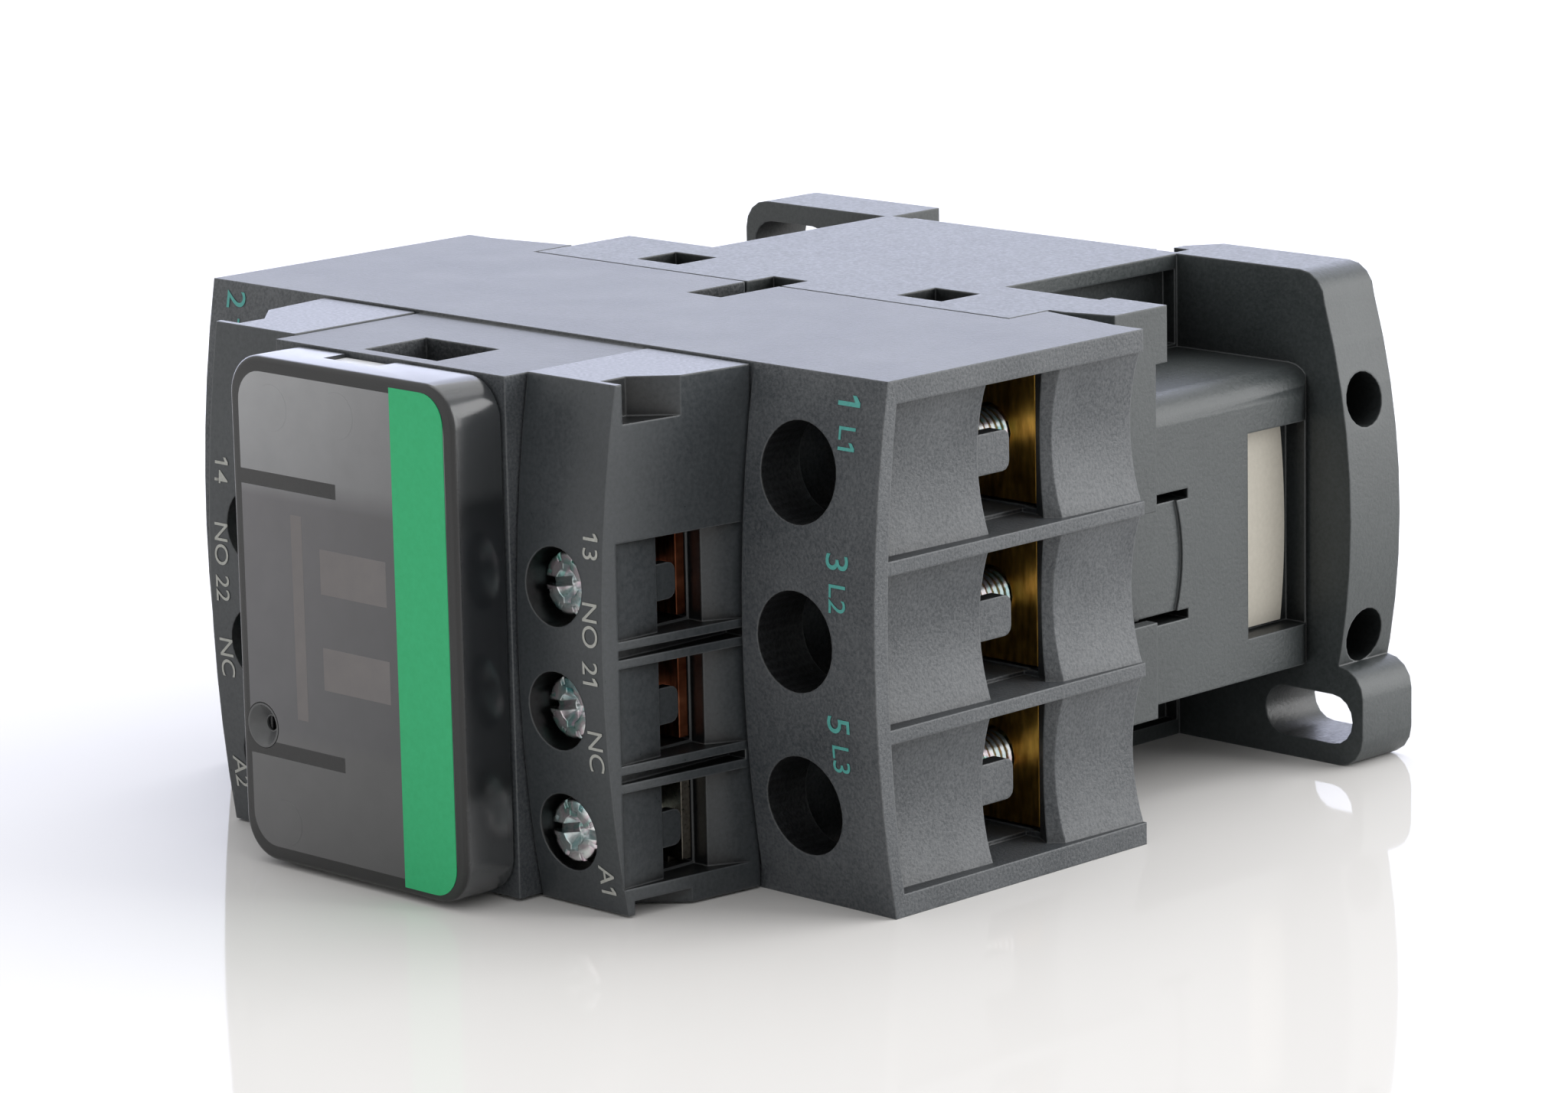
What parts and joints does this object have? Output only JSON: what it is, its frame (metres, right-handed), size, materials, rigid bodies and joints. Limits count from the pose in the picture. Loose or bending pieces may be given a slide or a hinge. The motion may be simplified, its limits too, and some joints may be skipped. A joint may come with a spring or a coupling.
{
  "type": "three-pole contactor",
  "caption": "Rail-mounted three-pole power contactor with auxiliary contacts: pull-off cover, sprung rail latch, sliding contact carrier, coil and screw clamp terminals.",
  "frame": {"origin": "centre of the bounding box on the side it lies on", "axes": "+X towards the line terminals, -Y towards the front cover, +Y towards the rail, +Z through the width"},
  "size_m": [0.084, 0.0926, 0.045],
  "materials": {
    "charcoal_plastic": "spark-eroded matt",
    "block_plastic": "satin",
    "base_plastic": "satin",
    "carrier_plastic": "matt",
    "smoked_cover": "gloss, smoky translucent",
    "label": "matt",
    "copper": "plain",
    "brass": "plain",
    "zinc_steel": "zinc plated",
    "clamp_steel": "plated",
    "spring_steel": "bright",
    "core_steel": "ground"
  },
  "bodies": {
    "housing": {"front_housing": "charcoal_plastic", "control_block_line": "block_plastic", "control_block_load": "block_plastic", "coil_bobbin": "block_plastic", "base": "base_plastic", "coil_label": "label", "coil_winding": "copper", "power_contact_L1": "brass", "power_contact_L2": "brass", "power_contact_L3": "brass", "power_contact_T1": "brass", "power_contact_T2": "brass", "power_contact_T3": "brass", "aux_contact_13": "brass", "aux_contact_21": "brass", "aux_contact_14": "brass", "aux_contact_22": "brass", "coil_terminal_A1": "brass", "coil_terminal_A2": "brass", "rail_latch_spring": "spring_steel", "return_spring_1": "spring_steel", "return_spring_2": "spring_steel", "fixed_core": "core_steel"},
    "moving_contacts": {"contact_carrier": "carrier_plastic", "armature": "core_steel", "armature_pin": "spring_steel", "bridge_contact_1": "copper", "bridge_contact_2": "copper", "bridge_contact_3": "copper", "contact_spring_1": "spring_steel", "contact_spring_2": "spring_steel", "contact_spring_3": "spring_steel", "aux_bridge_no": "copper", "aux_bridge_nc": "copper"},
    "cover": {"front_cover": "smoked_cover"},
    "latch": {"rail_latch": "block_plastic"},
    "power_clamp_L1_body": {"power_clamp_L1": "clamp_steel"},
    "power_screw_L1_body": {"power_screw_L1": "zinc_steel"},
    "power_clamp_L2_body": {"power_clamp_L2": "clamp_steel"},
    "power_screw_L2_body": {"power_screw_L2": "zinc_steel"},
    "power_clamp_L3_body": {"power_clamp_L3": "clamp_steel"},
    "power_screw_L3_body": {"power_screw_L3": "zinc_steel"},
    "power_clamp_T1_body": {"power_clamp_T1": "clamp_steel"},
    "power_screw_T1_body": {"power_screw_T1": "zinc_steel"},
    "power_clamp_T2_body": {"power_clamp_T2": "clamp_steel"},
    "power_screw_T2_body": {"power_screw_T2": "zinc_steel"},
    "power_clamp_T3_body": {"power_clamp_T3": "clamp_steel"},
    "power_screw_T3_body": {"power_screw_T3": "zinc_steel"},
    "control_saddle_13_body": {"control_saddle_13": "clamp_steel"},
    "control_screw_13_body": {"control_screw_13": "zinc_steel"},
    "control_saddle_21_body": {"control_saddle_21": "clamp_steel"},
    "control_screw_21_body": {"control_screw_21": "zinc_steel"},
    "control_saddle_A1_body": {"control_saddle_A1": "clamp_steel"},
    "control_screw_A1_body": {"control_screw_A1": "zinc_steel"},
    "control_saddle_14_body": {"control_saddle_14": "clamp_steel"},
    "control_screw_14_body": {"control_screw_14": "zinc_steel"},
    "control_saddle_22_body": {"control_saddle_22": "clamp_steel"},
    "control_screw_22_body": {"control_screw_22": "zinc_steel"},
    "control_saddle_A2_body": {"control_saddle_A2": "clamp_steel"},
    "control_screw_A2_body": {"control_screw_A2": "zinc_steel"}
  },
  "joints": [
    {"name": "contact_slide", "type": "slide", "parent": "housing", "child": "moving_contacts", "axis": [0, 1, 0], "range_m": [0, 0.005], "stiffness_N_per_m": 800, "springref_m": -0.008, "deforming": ["return_spring_1", "return_spring_2"]},
    {"name": "cover_pull", "type": "slide", "parent": "housing", "child": "cover", "axis": [0, -1, 0], "range_m": [0, 0.015]},
    {"name": "latch_slide", "type": "slide", "parent": "housing", "child": "latch", "axis": [-1, 0, 0], "range_m": [0, 0.004], "stiffness_N_per_m": 900, "springref_m": -0.003, "deforming": ["rail_latch_spring"]},
    {"name": "clamp_L1_slide", "type": "slide", "parent": "housing", "child": "power_clamp_L1_body", "axis": [0, 1, 0], "range_m": [0, 0.0049]},
    {"name": "screw_L1_turn", "type": "hinge", "parent": "power_clamp_L1_body", "child": "power_screw_L1_body", "pos_m": [0.0329, 0, 0.0366], "axis": [0, 1, 0], "range_deg": [0, 2520]},
    {"name": "clamp_L2_slide", "type": "slide", "parent": "housing", "child": "power_clamp_L2_body", "axis": [0, 1, 0], "range_m": [0, 0.0049]},
    {"name": "screw_L2_turn", "type": "hinge", "parent": "power_clamp_L2_body", "child": "power_screw_L2_body", "pos_m": [0.0329, 0, 0.0225], "axis": [0, 1, 0], "range_deg": [0, 2520]},
    {"name": "clamp_L3_slide", "type": "slide", "parent": "housing", "child": "power_clamp_L3_body", "axis": [0, 1, 0], "range_m": [0, 0.0049]},
    {"name": "screw_L3_turn", "type": "hinge", "parent": "power_clamp_L3_body", "child": "power_screw_L3_body", "pos_m": [0.0329, 0, 0.0084], "axis": [0, 1, 0], "range_deg": [0, 2520]},
    {"name": "clamp_T1_slide", "type": "slide", "parent": "housing", "child": "power_clamp_T1_body", "axis": [0, 1, 0], "range_m": [0, 0.0049]},
    {"name": "screw_T1_turn", "type": "hinge", "parent": "power_clamp_T1_body", "child": "power_screw_T1_body", "pos_m": [-0.0329, 0, 0.0366], "axis": [0, 1, 0], "range_deg": [0, 2520]},
    {"name": "clamp_T2_slide", "type": "slide", "parent": "housing", "child": "power_clamp_T2_body", "axis": [0, 1, 0], "range_m": [0, 0.0049]},
    {"name": "screw_T2_turn", "type": "hinge", "parent": "power_clamp_T2_body", "child": "power_screw_T2_body", "pos_m": [-0.0329, 0, 0.0225], "axis": [0, 1, 0], "range_deg": [0, 2520]},
    {"name": "clamp_T3_slide", "type": "slide", "parent": "housing", "child": "power_clamp_T3_body", "axis": [0, 1, 0], "range_m": [0, 0.0049]},
    {"name": "screw_T3_turn", "type": "hinge", "parent": "power_clamp_T3_body", "child": "power_screw_T3_body", "pos_m": [-0.0329, 0, 0.0084], "axis": [0, 1, 0], "range_deg": [0, 2520]},
    {"name": "saddle_13_slide", "type": "slide", "parent": "housing", "child": "control_saddle_13_body", "axis": [0, 1, 0], "range_m": [0, 0.003]},
    {"name": "screw_13_turn", "type": "hinge", "parent": "control_saddle_13_body", "child": "control_screw_13_body", "pos_m": [0.019, 0, 0.0276], "axis": [0, 1, 0], "range_deg": [0, 1800]},
    {"name": "saddle_21_slide", "type": "slide", "parent": "housing", "child": "control_saddle_21_body", "axis": [0, 1, 0], "range_m": [0, 0.003]},
    {"name": "screw_21_turn", "type": "hinge", "parent": "control_saddle_21_body", "child": "control_screw_21_body", "pos_m": [0.019, 0, 0.0171], "axis": [0, 1, 0], "range_deg": [0, 1800]},
    {"name": "saddle_A1_slide", "type": "slide", "parent": "housing", "child": "control_saddle_A1_body", "axis": [0, 1, 0], "range_m": [0, 0.003]},
    {"name": "screw_A1_turn", "type": "hinge", "parent": "control_saddle_A1_body", "child": "control_screw_A1_body", "pos_m": [0.019, 0, 0.0066], "axis": [0, 1, 0], "range_deg": [0, 1800]},
    {"name": "saddle_14_slide", "type": "slide", "parent": "housing", "child": "control_saddle_14_body", "axis": [0, 1, 0], "range_m": [0, 0.003]},
    {"name": "screw_14_turn", "type": "hinge", "parent": "control_saddle_14_body", "child": "control_screw_14_body", "pos_m": [-0.019, 0, 0.0276], "axis": [0, 1, 0], "range_deg": [0, 1800]},
    {"name": "saddle_22_slide", "type": "slide", "parent": "housing", "child": "control_saddle_22_body", "axis": [0, 1, 0], "range_m": [0, 0.003]},
    {"name": "screw_22_turn", "type": "hinge", "parent": "control_saddle_22_body", "child": "control_screw_22_body", "pos_m": [-0.019, 0, 0.0171], "axis": [0, 1, 0], "range_deg": [0, 1800]},
    {"name": "saddle_A2_slide", "type": "slide", "parent": "housing", "child": "control_saddle_A2_body", "axis": [0, 1, 0], "range_m": [0, 0.003]},
    {"name": "screw_A2_turn", "type": "hinge", "parent": "control_saddle_A2_body", "child": "control_screw_A2_body", "pos_m": [-0.019, 0, 0.0066], "axis": [0, 1, 0], "range_deg": [0, 1800]}
  ],
  "couplings": [
    {"joint": "screw_L1_turn", "follows": "clamp_L1_slide", "rad_per_m": 8976},
    {"joint": "screw_L2_turn", "follows": "clamp_L2_slide", "rad_per_m": 8976},
    {"joint": "screw_L3_turn", "follows": "clamp_L3_slide", "rad_per_m": 8976},
    {"joint": "screw_T1_turn", "follows": "clamp_T1_slide", "rad_per_m": 8976},
    {"joint": "screw_T2_turn", "follows": "clamp_T2_slide", "rad_per_m": 8976},
    {"joint": "screw_T3_turn", "follows": "clamp_T3_slide", "rad_per_m": 8976},
    {"joint": "screw_13_turn", "follows": "saddle_13_slide", "rad_per_m": 10472},
    {"joint": "screw_21_turn", "follows": "saddle_21_slide", "rad_per_m": 10472},
    {"joint": "screw_A1_turn", "follows": "saddle_A1_slide", "rad_per_m": 10472},
    {"joint": "screw_14_turn", "follows": "saddle_14_slide", "rad_per_m": 10472},
    {"joint": "screw_22_turn", "follows": "saddle_22_slide", "rad_per_m": 10472},
    {"joint": "screw_A2_turn", "follows": "saddle_A2_slide", "rad_per_m": 10472}
  ]
}
